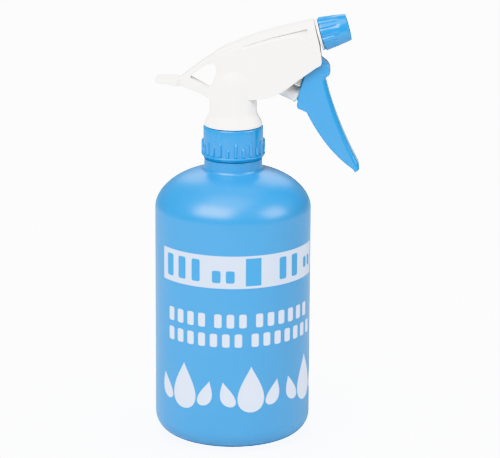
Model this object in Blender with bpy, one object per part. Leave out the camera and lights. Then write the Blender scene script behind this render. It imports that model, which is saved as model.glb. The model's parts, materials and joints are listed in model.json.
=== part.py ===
"""Trigger spray bottle: every sub-part as its own closed solid.

Frame: +Z up, the bottle's axis is x = y = 0, its base is z = 0, and the nozzle points to +X.
All sizes below are millimetres; the mesh helpers convert them to metres.
"""

from math import atan2, ceil, cos, hypot, pi, radians, sin

import bmesh
import bpy
from mathutils import Matrix, Vector

MM = 0.001
GAP = 0.3  # clearance that touching pieces keep

# Bottle
BOTTLE_R = 39.3
BASE_CORNER_R = 10.0
BODY_TOP_Z = 117.6
SHOULDER_RISE = 19.4
SHOULDER_CENTRE_R = 10.9
SHOULDER_POWER = 1.82  # 2 would be an ellipse; less is flatter
WALL = 1.2
NECK_R = 14.65
NECK_STEP_Z = 143.0
NECK_TOP_Z = 155.0
NECK_BORE_R = 11.0
THREAD_ROOT_R = 12.7
THREAD_CREST_R = 13.7
THREAD_PITCH = 4.233
THREAD_TURNS = 1.25
THREAD_START_Z = 146.6
BOTTLE_SIDES = 36

# Closure collar
COLLAR_BOTTOM_Z = 143.3
COLLAR_TOP_Z = 159.3
COLLAR_R = 15.1
COLLAR_RIB_R = 16.1
COLLAR_BORE_R = 14.1
COLLAR_HOLE_R = 11.0
COLLAR_SHELF_Z = 157.9
RIB_COUNT = 24
RIB_START_DEG = 7.0

# Flange stack under the collar's shelf
FLANGE_R = 13.4
FLANGE_BOTTOM_Z = 156.3
FLANGE_TOP_Z = 157.6
GASKET_BORE_R = 10.6

# Stem: the sleeve and skirt belong to the shroud, the tube inside to the pump body
SLEEVE_R = 12.0
SLEEVE_BORE_R = 10.7
SLEEVE_DOME_Z = 180.6
SKIRT_BOTTOM_Z = 159.6
STEM_R = 9.5
STEM_SHOULDER_Z = 173.5
STEM_UPPER_R = 5.5
STEM_TOP_Z = 188.0

# Shroud
SHROUD_HALF_WIDTH = 9.3
SHROUD_WALL = 1.3
SPINE_HALF_WIDTH = 4.2  # flat middle of the roof, and the arms beside the window
SHOULDER_DROP = 1.9  # how far the roof falls from the spine to the flanks
TAIL_HALF_WIDTH = 7.5
TAIL_CORNER_R = 4.5

# Pump cylinder: an axis that falls towards the trigger
PUMP_TILT_DEG = 24.0
PISTON_END = (32.54, 175.04)  # x, z of the middle of the piston's end face
CYLINDER_R = 6.3
CYLINDER_BORE_R = 5.1
CYLINDER_MOUTH = 14.5  # distances are measured back from the piston's end
CYLINDER_FLOOR = 33.0
CYLINDER_BACK = 34.5

# Nozzle: an axis that rises towards the front
NOZZLE_TILT_DEG = 16.0
NOZZLE_ORIGIN = (43.7, 206.0)  # x, z of the middle of the cap's rear rim
BARREL_THREAD_ROOT_R = 4.3
BARREL_THREAD_CREST_R = 5.0
CAP_LENGTH = 13.7
CAP_REAR_R = 8.6
CAP_FRONT_R = 6.8
CAP_BORE_R = 5.5
CAP_THREAD_CREST_R = 4.65
CAP_PITCH = 2.0
CAP_FLUTES = 14

# Trigger
PIVOT = (42.6, 190.0)  # x, z of the trigger's hinge
HANGER_HALF_WIDTH = 4.4
TRIGGER_HALF_WIDTH = 6.3
TRIGGER_WALL = 1.4
STUD_R = 1.2
STUD_END = 5.6
PUSH_BAR_R = 1.6

# Intake line
TUBE_R = 3.0
TUBE_BORE_R = 2.1
TUBE_BOTTOM_Z = 5.0
TUBE_TOP_Z = 163.7
BALL_R = 2.4
BALL_Z = 170.31


# ---------------------------------------------------------------- materials

def material(name, colour, roughness, metallic=0.0):
    """A Principled material with one colour, roughness and metallic value."""
    mat = bpy.data.materials.new(name)
    mat.use_nodes = True
    shader = mat.node_tree.nodes["Principled BSDF"]
    shader.inputs["Base Color"].default_value = (*colour, 1.0)
    shader.inputs["Roughness"].default_value = roughness
    shader.inputs["Metallic"].default_value = metallic
    return mat


def make_materials():
    """The finishes that the sub-parts share."""
    return {
        "bottle_blue": material("bottle_blue", (0.13, 0.44, 0.85), 0.42),
        "trim_blue": material("trim_blue", (0.07, 0.37, 0.82), 0.30),
        "head_white": material("head_white", (0.87, 0.86, 0.84), 0.38),
        "natural_plastic": material("natural_plastic", (0.83, 0.83, 0.80), 0.45),
        "seal_grey": material("seal_grey", (0.32, 0.33, 0.34), 0.65),
        "spring_steel": material("spring_steel", (0.62, 0.62, 0.60), 0.28, 1.0),
    }


# ---------------------------------------------------------------- mesh helpers

def link_mesh(name, bm, mat, sharp_deg=35.0):
    """Finish a bmesh as a smooth-shaded object with its faces pointing out."""
    bmesh.ops.recalc_face_normals(bm, faces=bm.faces)
    mesh = bpy.data.meshes.new(name)
    bm.to_mesh(mesh)
    bm.free()
    mesh.shade_smooth()
    mesh.set_sharp_from_angle(angle=radians(sharp_deg))
    obj = bpy.data.objects.new(name, mesh)
    if mat:
        mesh.materials.append(mat)
    bpy.context.collection.objects.link(obj)
    return obj


def turned(name, profile, mat=None, sides=32, start_deg=0.0):
    """Spin a closed (radius, height) outline round the Z axis."""
    bm = bmesh.new()
    turn = Matrix.Rotation(radians(start_deg), 3, "Z")
    verts = [bm.verts.new(turn @ Vector((r * MM, 0.0, z * MM))) for r, z in profile]
    closed = [bm.edges.new((a, b)) for a, b in zip(verts, verts[1:] + verts[:1])]
    on_axis = [e for e in closed if max(v.co.xy.length for v in e.verts) < 1e-9]
    edges = [e for e in closed if e not in on_axis]
    bmesh.ops.delete(bm, geom=on_axis, context="EDGES")
    bmesh.ops.spin(bm, geom=verts + edges, axis=(0, 0, 1), cent=(0, 0, 0), angle=2 * pi, steps=sides)
    bmesh.ops.remove_doubles(bm, verts=bm.verts, dist=1e-6)
    return link_mesh(name, bm, mat)


def extruded(name, outline, half_width, mat=None):
    """A prism with an (x, z) outline, half_width to each side of the middle plane."""
    bm = bmesh.new()
    verts = [bm.verts.new((x * MM, -half_width * MM, z * MM)) for x, z in outline]
    face = bm.faces.new(verts)
    side = bmesh.ops.extrude_face_region(bm, geom=[face])["geom"]
    moved = [g for g in side if isinstance(g, bmesh.types.BMVert)]
    bmesh.ops.translate(bm, vec=(0, 2 * half_width * MM, 0), verts=moved)
    return link_mesh(name, bm, mat)


def swept(name, path, section, mat=None):
    """Join sections, given as point lists, from one end of a path to the other, and cap both."""
    bm = bmesh.new()
    rings = [[bm.verts.new(Vector(p) * MM) for p in section(u)] for u in path]
    for one, two in zip(rings, rings[1:]):
        for i in range(len(one)):
            j = (i + 1) % len(one)
            bm.faces.new((one[i], one[j], two[j], two[i]))
    bm.faces.new(rings[0])
    bm.faces.new(rings[-1])
    bmesh.ops.triangulate(bm, faces=bm.faces)
    return link_mesh(name, bm, mat)


def lofted(name, stations, outline, mat=None):
    """A solid through the (x, z) outlines, all with as many points, at stations along Y."""
    return swept(name, stations, lambda y: [(x, y, z) for x, z in outline(y)], mat)


def cross_pin(name, radius, half_length, centre, sides=20):
    """A round bar across the middle plane, centred on an (x, z) point."""
    ends = [(0, -half_length), (0, half_length), (radius, half_length), (radius, -half_length)]
    pin = turned(name, ends, sides=sides)
    pin.location = (centre[0] * MM, 0.0, centre[1] * MM)
    pin.rotation_euler = (pi / 2, 0.0, 0.0)
    return pin


def rod(name, radius, start, end, sides=24):
    """A straight round bar between two (x, z) points of the middle plane."""
    length = hypot(end[0] - start[0], end[1] - start[1])
    bar = turned(name, [(0, 0), (0, length), (radius, length), (radius, 0)], sides=sides)
    along_axis(bar, start, atan2(end[1] - start[1], end[0] - start[0]))
    return bar


def along_axis(obj, origin, angle):
    """Stand an object's Z axis along a direction of the middle plane, from an (x, z) point."""
    obj.location = (origin[0] * MM, 0.0, origin[1] * MM)
    obj.rotation_euler = (0.0, pi / 2 - angle, 0.0)


def cut(obj, *cutters, operation="DIFFERENCE"):
    """Boolean the cutters into an object in one step; they stay as hidden guides."""
    guides = bpy.data.collections.new(f"{obj.name}_{operation.lower()}")
    bpy.context.scene.collection.children.link(guides)
    for cutter in cutters:
        cutter.hide_render = True
        cutter.display_type = "WIRE"
        guides.objects.link(cutter)
    step = obj.modifiers.new(guides.name, "BOOLEAN")
    step.operation = operation
    step.solver = "EXACT"
    step.operand_type = "COLLECTION"
    step.collection = guides


def join(obj, *pieces):
    """Boolean-union pieces into an object."""
    cut(obj, *pieces, operation="UNION")


# ---------------------------------------------------------------- curves

def arc(centre, radii, start_deg, end_deg, count):
    """Points of an arc or a quarter ellipse."""
    radius_x, radius_z = radii
    points = []
    for i in range(count + 1):
        angle = radians(start_deg + (end_deg - start_deg) * i / count)
        points.append((centre[0] + radius_x * cos(angle), centre[1] + radius_z * sin(angle)))
    return points


def bezier(start, handle_a, handle_b, end, count):
    """Points of a cubic Bezier curve."""
    points = []
    for i in range(count + 1):
        t = i / count
        weights = ((1 - t) ** 3, 3 * t * (1 - t) ** 2, 3 * t * t * (1 - t), t ** 3)
        corners = (start, handle_a, handle_b, end)
        points.append(tuple(sum(w * c[k] for w, c in zip(weights, corners)) for k in (0, 1)))
    return points


def shifted(points, dx, dz):
    """The same points, moved."""
    return [(x + dx, z + dz) for x, z in points]


def pump_point(distance, offset=0.0):
    """(x, z) at a distance back from the piston's end, and an offset above the pump axis."""
    tilt = radians(PUMP_TILT_DEG)
    x = PISTON_END[0] - distance * cos(tilt) + offset * sin(tilt)
    z = PISTON_END[1] + distance * sin(tilt) + offset * cos(tilt)
    return x, z


def nozzle_point(distance, offset=0.0):
    """(x, z) at a distance ahead of the cap's rear rim, and an offset above the nozzle axis."""
    tilt = radians(NOZZLE_TILT_DEG)
    x = NOZZLE_ORIGIN[0] + distance * cos(tilt) - offset * sin(tilt)
    z = NOZZLE_ORIGIN[1] + distance * sin(tilt) + offset * cos(tilt)
    return x, z


def thread_ridge(name, wall_r, crest_r, start, turns, pitch, base_half, crest_half, steps=30):
    """A helical ridge of trapezoid section, rooted a little inside its wall, fading at both ends."""
    sink = 0.4 if crest_r > wall_r else -0.4
    count = ceil(turns * steps)

    def section(i):
        angle = 2 * pi * turns * i / count
        height = start + pitch * turns * i / count
        fade = min(1.0, 0.15 + i / 4, 0.15 + (count - i) / 4)
        crest = wall_r + (crest_r - wall_r) * fade
        corners = (
            (wall_r - sink, -base_half),
            (crest, -crest_half),
            (crest, crest_half),
            (wall_r - sink, base_half),
        )
        return [(r * cos(angle), r * sin(angle), height + dz) for r, dz in corners]

    return swept(name, range(count + 1), section)


def coil(name, mat, radius, wire_r, length, turns, sides=6, steps=14):
    """A compression spring standing on Z, with its ends closed up against their seats."""
    count = turns * steps

    def section(i):
        turn = i / steps
        share = min(max((turn - 0.8) / (turns - 1.6), 0.0), 1.0)
        height = wire_r + 0.12 * turn + (length - 2 * wire_r - 0.12 * turns) * share
        angle = 2 * pi * turn
        ring = []
        for k in range(sides):
            lean = 2 * pi * k / sides
            r = radius + wire_r * cos(lean)
            ring.append((r * cos(angle), r * sin(angle), height + wire_r * sin(lean)))
        return ring

    return swept(name, range(count + 1), section, mat)


# ---------------------------------------------------------------- bottle and closure

def shoulder(inset, count):
    """(radius, height) points up the shoulder, from the body's wall to the foot of the neck."""
    run = BOTTLE_R - SHOULDER_CENTRE_R - inset
    rise = SHOULDER_RISE - inset
    points = []
    for i in range(count + 1):
        angle = radians(73.0 * i / count)
        across, up = cos(angle) ** (2 / SHOULDER_POWER), sin(angle) ** (2 / SHOULDER_POWER)
        points.append((SHOULDER_CENTRE_R + run * across, BODY_TOP_Z + rise * up))
    return points


def make_bottle(mats):
    """Blown bottle: flat centre and standing ring under it, soft shoulder, threaded neck."""
    centre_r, groove_depth = 24.0, 1.2
    ring_r = BOTTLE_R - BASE_CORNER_R
    neck_inner_r = NECK_R - WALL
    outer = [(0, 0), (centre_r, 0), (centre_r + 1.2, groove_depth), (ring_r - 2.0, groove_depth)]
    outer += [(ring_r - 0.8, 0)]
    outer += arc((ring_r, BASE_CORNER_R), (BASE_CORNER_R, BASE_CORNER_R), -90, 0, 5)
    outer += shoulder(0.0, 9)
    outer += [(16.2, 137.0), (15.2, 138.0), (NECK_R, 139.6), (NECK_R, NECK_STEP_Z)]
    outer += [(THREAD_ROOT_R, NECK_STEP_Z), (THREAD_ROOT_R, NECK_TOP_Z)]
    inner_floor = groove_depth + WALL
    inner = [(NECK_BORE_R, NECK_TOP_Z), (NECK_BORE_R, NECK_STEP_Z - 1.5)]
    inner += [(neck_inner_r, NECK_STEP_Z - 4.0), (14.1, 137.2), (15.4, 136.0)]
    inner += shoulder(WALL, 8)[::-1]
    inner_corner = BASE_CORNER_R - WALL
    inner += arc((ring_r, inner_floor + inner_corner), (inner_corner, inner_corner), 0, -90, 4)
    inner += [(0, inner_floor)]
    bottle = turned("bottle", outer + inner, mats["bottle_blue"], BOTTLE_SIDES)
    ridge = thread_ridge(
        "bottle_thread", THREAD_ROOT_R, THREAD_CREST_R, THREAD_START_Z,
        THREAD_TURNS, THREAD_PITCH, 1.1, 0.45,
    )
    join(bottle, ridge)


def make_collar(mats):
    """Screw closure with tall and short ribs by turns, an inward shelf and an internal thread."""
    lip_z, short_z, tall_z = 146.0, 150.0, 152.5
    rows = [
        (COLLAR_BORE_R, COLLAR_BOTTOM_Z, 0), (COLLAR_R, COLLAR_BOTTOM_Z, 0),
        (COLLAR_RIB_R, COLLAR_BOTTOM_Z + 1.5, 0), (COLLAR_RIB_R, lip_z - 0.5, 0),
        (COLLAR_R, lip_z, 1), (COLLAR_R, short_z, 1), (COLLAR_R, short_z + 0.6, 2),
        (COLLAR_R, tall_z, 2), (COLLAR_R, tall_z + 0.6, 0), (COLLAR_R, COLLAR_TOP_Z - 0.8, 0),
        (COLLAR_R - 0.6, COLLAR_TOP_Z, 0), (COLLAR_HOLE_R, COLLAR_TOP_Z, 0),
        (COLLAR_HOLE_R, COLLAR_SHELF_Z, 0), (COLLAR_BORE_R, COLLAR_SHELF_Z, 0),
    ]
    columns = 3 * RIB_COUNT
    bm = bmesh.new()
    rings = []
    for column in range(columns):
        angle = radians(RIB_START_DEG + 360.0 * column / columns)
        ribs_here = 0 if column % 3 else 1 + (column // 3 + 1) % 2
        ring = []
        for radius, height, rib_kind in rows:
            raised = rib_kind and ribs_here >= rib_kind
            r = COLLAR_RIB_R if raised else radius
            ring.append(bm.verts.new((r * MM * cos(angle), r * MM * sin(angle), height * MM)))
        rings.append(ring)
    for one, two in zip(rings, rings[1:] + rings[:1]):
        for i in range(len(rows)):
            j = (i + 1) % len(rows)
            bm.faces.new((one[i], two[i], two[j], one[j]))
    bmesh.ops.triangulate(bm, faces=bm.faces)
    collar = link_mesh("closure_collar", bm, mats["trim_blue"])
    ridge = thread_ridge(
        "collar_thread", COLLAR_BORE_R, THREAD_ROOT_R + GAP + 0.05,
        THREAD_START_Z - THREAD_PITCH / 2, 1.0, THREAD_PITCH, 1.1, 0.45,
    )
    join(collar, ridge)


def make_gasket(mats):
    """Flat ring between the bottle's rim and the pump's flange."""
    low, high = NECK_TOP_Z + GAP, FLANGE_BOTTOM_Z - GAP
    ring = [(GASKET_BORE_R, low), (FLANGE_R, low), (FLANGE_R, high), (GASKET_BORE_R, high)]
    turned("neck_gasket", ring, mats["seal_grey"], 28)


# ---------------------------------------------------------------- intake line

def make_tube_retainer(mats):
    """Plug in the stem: it grips the dip tube and carries the ball's seat."""
    top, flange_low, bottom = 169.7, 154.3, 146.0
    plug_r, socket_r, port_r = 4.1, TUBE_R + GAP, 1.5
    profile = [
        (socket_r, bottom), (4.6, bottom), (4.6, flange_low), (6.5, flange_low),
        (6.5, FLANGE_BOTTOM_Z - GAP), (plug_r, FLANGE_BOTTOM_Z - GAP), (plug_r, top), (3.0, top),
        (port_r, top - 1.5), (port_r, TUBE_TOP_Z + GAP), (socket_r, TUBE_TOP_Z + GAP),
    ]
    turned("tube_retainer", profile, mats["natural_plastic"], 20)


def make_dip_tube(mats):
    """Straight tube down to the base, its lower end cut at a slant."""
    profile = [
        (TUBE_R, TUBE_TOP_Z), (TUBE_R, TUBE_BOTTOM_Z),
        (TUBE_BORE_R, TUBE_BOTTOM_Z), (TUBE_BORE_R, TUBE_TOP_Z),
    ]
    tube = turned("dip_tube", profile, mats["natural_plastic"], 20)
    slant = [(-6, TUBE_BOTTOM_Z - 3), (6, TUBE_BOTTOM_Z - 3), (6, TUBE_BOTTOM_Z + 5)]
    cut(tube, extruded("dip_tube_slant", slant, 6))


def make_ball(mats):
    """Check ball that rests on the retainer's cone."""
    bm = bmesh.new()
    bmesh.ops.create_icosphere(bm, subdivisions=2, radius=BALL_R * MM)
    ball = link_mesh("inlet_ball", bm, mats["spring_steel"], 60)
    ball.location = (0, 0, BALL_Z * MM)


# ---------------------------------------------------------------- pump body

def make_pump_body(mats):
    """Flanged stem, tilted cylinder, discharge socket and trigger hanger in one moulding."""
    bore_r = 4.4
    profile = [
        (0, FLANGE_BOTTOM_Z), (0, STEM_TOP_Z), (STEM_UPPER_R, STEM_TOP_Z),
        (STEM_UPPER_R, STEM_SHOULDER_Z), (STEM_R, STEM_SHOULDER_Z), (STEM_R, FLANGE_TOP_Z),
        (FLANGE_R, FLANGE_TOP_Z), (FLANGE_R, FLANGE_BOTTOM_Z),
    ]
    body = turned("pump_body", profile, mats["natural_plastic"], 32)
    cylinder = rod("pump_cylinder", CYLINDER_R, pump_point(CYLINDER_BACK), pump_point(CYLINDER_MOUTH), 28)
    socket = rod("discharge_socket", 4.8, nozzle_point(-42.5), nozzle_point(-16.0), 24)
    web = extruded("pump_web", [(3, 184), (24, 187), (25, 197), (3, 195)], 2.2)
    hanger_outline = [(20, 188), (25, 184.1), (29.3, 182.2), (33.4, 180.4), (34.6, 186.6)]
    hanger_outline += [(41.3, 187.9)] + arc(PIVOT, (2.2, 2.2), -60, 75, 6)
    hanger_outline += [(34, 197.2), (27.6, 197.2), (24, 198.5), (20, 196.5)]
    hanger = extruded("trigger_hanger", hanger_outline, HANGER_HALF_WIDTH)
    studs = cross_pin("trigger_studs", STUD_R, STUD_END, PIVOT)
    join(body, cylinder, socket, web, hanger, studs)
    passages = [
        rod("stem_bore", bore_r, (0, 150), (0, 170.0), 24),
        rod("ball_chamber", 3.2, (0, 169), (0, 175.5), 20),
        rod("intake_port", 1.9, (0, 175), (0, 186.5), 16),
        rod("cylinder_bore", CYLINDER_BORE_R, pump_point(CYLINDER_FLOOR), pump_point(0), 28),
        rod("outlet_port", 1.4, (5.4, 190), (5.4, 195.6), 16),
        rod("discharge_passage", 1.4, nozzle_point(-40.2), nozzle_point(-20), 16),
        rod("discharge_bore", 3.6, nozzle_point(-24.5), nozzle_point(-10), 24),
    ]
    cut(body, *passages)


# ---------------------------------------------------------------- piston

def make_piston(mats):
    """Hollow plunger: flat end with a rim, a shaft, and a grooved head for its two seals."""
    shaft_r, head_r, groove_r = 4.1, 4.7, 3.7
    profile = [
        (0, 0), (3.6, 0), (4.4, 0.5), (4.4, 1.4), (shaft_r, 1.8), (shaft_r, 16.2),
        (head_r, 16.6), (head_r, 17.4), (groove_r, 17.4), (groove_r, 19.6), (head_r, 19.6),
        (head_r, 20.4), (groove_r, 20.4), (groove_r, 22.6), (head_r, 22.6), (head_r, 23.2),
        (3.4, 23.2), (3.4, 19.0), (0, 19.0),
    ]
    piston = turned("piston", profile, mats["head_white"], 20)
    along_axis(piston, PISTON_END, radians(180.0 - PUMP_TILT_DEG))


def make_piston_ring(name, mats, start):
    """Lip seal in one of the piston's grooves; its skirt flares towards the cylinder's floor."""
    profile = [
        (4.0, start), (4.75, start), (4.95, start + 1.6), (4.55, start + 1.6), (4.3, start + 0.8),
        (4.0, start + 0.8),
    ]
    ring = turned(name, profile, mats["seal_grey"], 20)
    along_axis(ring, PISTON_END, radians(180.0 - PUMP_TILT_DEG))


def make_return_spring(mats):
    """Coil between the piston's pocket and the cylinder's floor."""
    start, end = 19.0 + GAP, CYLINDER_FLOOR - GAP
    spring = coil("return_spring", mats["spring_steel"], 2.7, 0.4, end - start, 6, sides=4, steps=12)
    along_axis(spring, pump_point(start), radians(180.0 - PUMP_TILT_DEG))


# ---------------------------------------------------------------- trigger

def trigger_front():
    """Finger side, from under the knuckle to the tip."""
    return bezier((45.7, 184.9), (48.9, 171.0), (55.1, 155.2), (62.5, 141.6), 10)


def make_trigger(mats):
    """Channel-section lever, open to the rear, that hangs on the pump body's two studs."""
    knuckle = [
        (38.5, 194.0), (41.0, 195.3), (43.3, 194.6), (44.3, 193.5), (46.4, 192.0),
        (47.7, 190.25), (48.3, 188.5), (48.1, 187.0), (47.4, 185.9), (46.2, 185.1),
    ]
    tip = [(63.0, 140.3), (63.3, 138.3), (61.0, 136.9)]
    rear = bezier((59.6, 138.7), (49.4, 145.9), (42.0, 156.2), (36.4, 167.4), 8)
    cheek = [
        (33.9, 168.5), (32.0, 169.2), (31.5, 170.9), (32.2, 175.2), (33.2, 179.4),
        (34.4, 183.2), (35.4, 187.0), (36.2, 191.0),
    ]
    outline = knuckle + trigger_front() + tip + rear + cheek
    trigger = extruded("trigger", outline, TRIGGER_HALF_WIDTH, mats["trim_blue"])
    hollow = [
        (42.1, 205.0), (42.3, 193.2), (43.2, 192.9), (44.2, 192.1), (45.5, 190.8),
        (46.3, 189.5), (46.7, 188.4), (46.5, 187.5), (45.9, 186.8), (44.8, 186.0),
    ]
    hollow += shifted(trigger_front(), -TRIGGER_WALL - 0.3, 0.0)[1:8]
    hollow += [(51.5, 150.0), (28.0, 150.0), (28.0, 205.0)]
    channel = extruded("trigger_channel", hollow, TRIGGER_HALF_WIDTH - TRIGGER_WALL)
    holes = cross_pin("stud_holes", STUD_R + GAP, STUD_END + GAP, PIVOT)
    bar = cross_pin("push_bar", PUSH_BAR_R, 5.6, pump_point(-GAP - PUSH_BAR_R), 16)
    cut(trigger, channel, holes)
    join(trigger, bar)


# ---------------------------------------------------------------- nozzle

def make_discharge_barrel(mats):
    """Nozzle tube: plugged into the pump body, valve seat inside, disc and thread outside."""
    disc_r = 8.2
    profile = [
        (1.0, -24.2), (3.3, -24.2), (3.3, -15.7), (4.2, -15.7), (4.2, -3.4), (4.9, -3.0),
        (4.9, -1.6), (disc_r, -1.6), (disc_r, -0.35), (4.9, -0.35), (4.9, 0.6),
        (BARREL_THREAD_ROOT_R, 1.2), (BARREL_THREAD_ROOT_R, 6.0), (3.8, 6.4), (3.8, 10.2),
        (3.0, 10.2), (3.0, -4.0), (2.6, -4.0), (2.6, -19.4), (1.0, -21.0),
    ]
    barrel = turned("discharge_barrel", profile, mats["head_white"], 20)
    along_axis(barrel, NOZZLE_ORIGIN, radians(NOZZLE_TILT_DEG))
    ridge = thread_ridge(
        "barrel_thread", BARREL_THREAD_ROOT_R, BARREL_THREAD_CREST_R, 2.3, 1.25, CAP_PITCH,
        0.55, 0.2, 24,
    )
    along_axis(ridge, NOZZLE_ORIGIN, radians(NOZZLE_TILT_DEG))
    join(barrel, ridge)


def make_outlet_valve(mats):
    """Conical poppet that closes the barrel's seat."""
    profile = [
        (0, -21.6), (0.7, -21.6), (0.7, -20.7), (2.1, -19.2), (2.1, -17.2), (1.3, -17.2),
        (1.3, -15.0), (0, -15.0),
    ]
    valve = turned("outlet_valve", profile, mats["natural_plastic"], 20)
    along_axis(valve, NOZZLE_ORIGIN, radians(NOZZLE_TILT_DEG))


def make_outlet_spring(mats):
    """Light coil between the poppet and the swirl plug."""
    start, end = -17.2 + GAP, -3.7 - GAP
    spring = coil("outlet_spring", mats["spring_steel"], 1.95, 0.25, end - start, 5, sides=4, steps=10)
    along_axis(spring, nozzle_point(start), radians(NOZZLE_TILT_DEG))


def make_swirl_plug(mats):
    """Stepped insert in the barrel's mouth, with slots that set the liquid spinning."""
    profile = [
        (0, -3.7), (2.0, -3.7), (2.7, -3.0), (2.7, 8.8), (2.1, 8.8), (2.1, 10.1), (0, 10.1),
    ]
    plug = turned("swirl_plug", profile, mats["natural_plastic"], 20)
    along_axis(plug, NOZZLE_ORIGIN, radians(NOZZLE_TILT_DEG))
    slot = extruded("swirl_slot", [(-4, 9.3), (4, 9.3), (4, 12), (-4, 12)], 0.4)
    along_axis(slot, NOZZLE_ORIGIN, radians(NOZZLE_TILT_DEG))
    cut(plug, slot)


def make_nozzle_cap(mats):
    """Fluted cap with a dished front, a spray orifice, an inner threaded skirt and an outer shell."""
    flute_depth, flute_end = 0.45, 9.6
    front_wall = 10.9
    rows = [
        (CAP_BORE_R, 0.0, 0), (6.6, 0.0, 0), (6.6, 6.5, 0), (7.1, 6.5, 0), (7.4, 0.0, 0),
        (CAP_REAR_R - 0.3, 0.0, 1), (CAP_REAR_R, 0.5, 1), (8.25, 4.5, 1), (7.7, flute_end - 1.5, 1),
        (7.42, flute_end, 0), (CAP_FRONT_R + 0.1, CAP_LENGTH - 0.5, 0), (CAP_FRONT_R - 0.4, CAP_LENGTH, 0),
        (5.4, CAP_LENGTH, 0), (4.6, CAP_LENGTH - 0.9, 0), (0.6, CAP_LENGTH - 1.1, 0),
        (0.5, front_wall, 0), (CAP_BORE_R, front_wall, 0),
    ]
    columns = 3 * CAP_FLUTES
    bm = bmesh.new()
    rings = []
    for column in range(columns):
        angle = 2 * pi * column / columns
        in_flute = column % 3 == 0
        ring = []
        for radius, height, fluted in rows:
            r = radius - flute_depth if fluted and in_flute else radius
            ring.append(bm.verts.new((r * MM * cos(angle), r * MM * sin(angle), height * MM)))
        rings.append(ring)
    for one, two in zip(rings, rings[1:] + rings[:1]):
        for i in range(len(rows)):
            j = (i + 1) % len(rows)
            bm.faces.new((one[i], two[i], two[j], one[j]))
    bmesh.ops.triangulate(bm, faces=bm.faces)
    cap = link_mesh("nozzle_cap", bm, mats["trim_blue"])
    along_axis(cap, NOZZLE_ORIGIN, radians(NOZZLE_TILT_DEG))
    ridge = thread_ridge(
        "cap_thread", CAP_BORE_R, CAP_THREAD_CREST_R, 2.3 - CAP_PITCH / 2, 1.25, CAP_PITCH,
        0.55, 0.2, 24,
    )
    along_axis(ridge, NOZZLE_ORIGIN, radians(NOZZLE_TILT_DEG))
    join(cap, ridge)


def make_nozzle_seal(mats):
    """Sealing ring between the barrel's nose and the cap's bore."""
    middle_r, half = 4.65, 0.55
    ring = arc((middle_r, 7.6), (half, half), 0, 315, 7)
    seal = turned("nozzle_seal", ring, mats["seal_grey"], 24)
    along_axis(seal, NOZZLE_ORIGIN, radians(NOZZLE_TILT_DEG))


# ---------------------------------------------------------------- shroud

def roof_line(drop=0.0):
    """The roof's spine from behind the window to the front, lowered if asked."""
    line = bezier((-25.5, 184.2), (-4.2, 202.0), (10.6, 207.0), (38.2, 213.2), 14)
    return shifted(line, 0.0, -drop)


def roof_between(rear_x, front_x, drop):
    """The lowered roof line, with whatever is beyond two limits pressed onto them."""
    return [(min(max(x, rear_x), front_x), z) for x, z in roof_line(drop)[3:]]


def flank_share(y, half_width):
    """0 over the flat spine, 1 at a half width."""
    return max(0.0, (abs(y) - SPINE_HALF_WIDTH) / (half_width - SPINE_HALF_WIDTH))


def shell_outline(y):
    """Outside of the main cover at one station: the roof and its rear end fall off at the flanks."""
    share = flank_share(y, SHROUD_HALF_WIDTH)
    drop = SHOULDER_DROP * share
    setback = 3.5 * share
    outline = roof_between(-9.5 + setback, 38.2, drop)
    outline += [(38.8, 213.2 - drop), (39.9, 212.3 - drop), (42.3, 203.0), (43.6, 196.0)]
    outline += [(43.8, 193.4), (43.4, 191.8), (41.5, 190.9), (32.8, 184.6), (29.2, 181.7)]
    outline += bezier((27.5, 180.4), (22.2, 176.2), (16.7, 174.1), (11.5, 174.0), 7)
    outline += [(-4.0, 174.0), (-9.3 + setback, 178.0)]
    return outline


def cavity_outline(y):
    """Inside of the main cover at one station; it runs out through the front and the underside."""
    share = flank_share(y, SHROUD_HALF_WIDTH - SHROUD_WALL)
    rear_x = -5.9 + 2.9 * share
    outline = roof_between(rear_x, 38.0, SHROUD_WALL + 0.3 + 1.8 * share)
    outline += [(41.0, 200.0), (50.0, 199.9), (50.0, 168.0), (13.0, 168.0), (13.0, 176.5)]
    outline += [(rear_x, 176.5)]
    return outline


def tail_outline(y):
    """Finger rest behind the window at one station, its tip rounded off towards the corners."""
    into_corner = max(0.0, abs(y) - (TAIL_HALF_WIDTH - TAIL_CORNER_R))
    tip = TAIL_CORNER_R - (TAIL_CORNER_R ** 2 - into_corner ** 2) ** 0.5
    return [
        (-39.2 + tip, 182.6), (-38.6 + tip, 183.3), (-27.0, 183.4), (-22.5, 184.4),
        (-22.5, 181.0), (-30.5, 180.9), (-37.4 + tip, 181.0), (-38.9 + tip, 181.6),
    ]


def mirrored(half):
    """Stations on both sides of the middle plane."""
    return [-y for y in half] + list(reversed(half))


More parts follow.
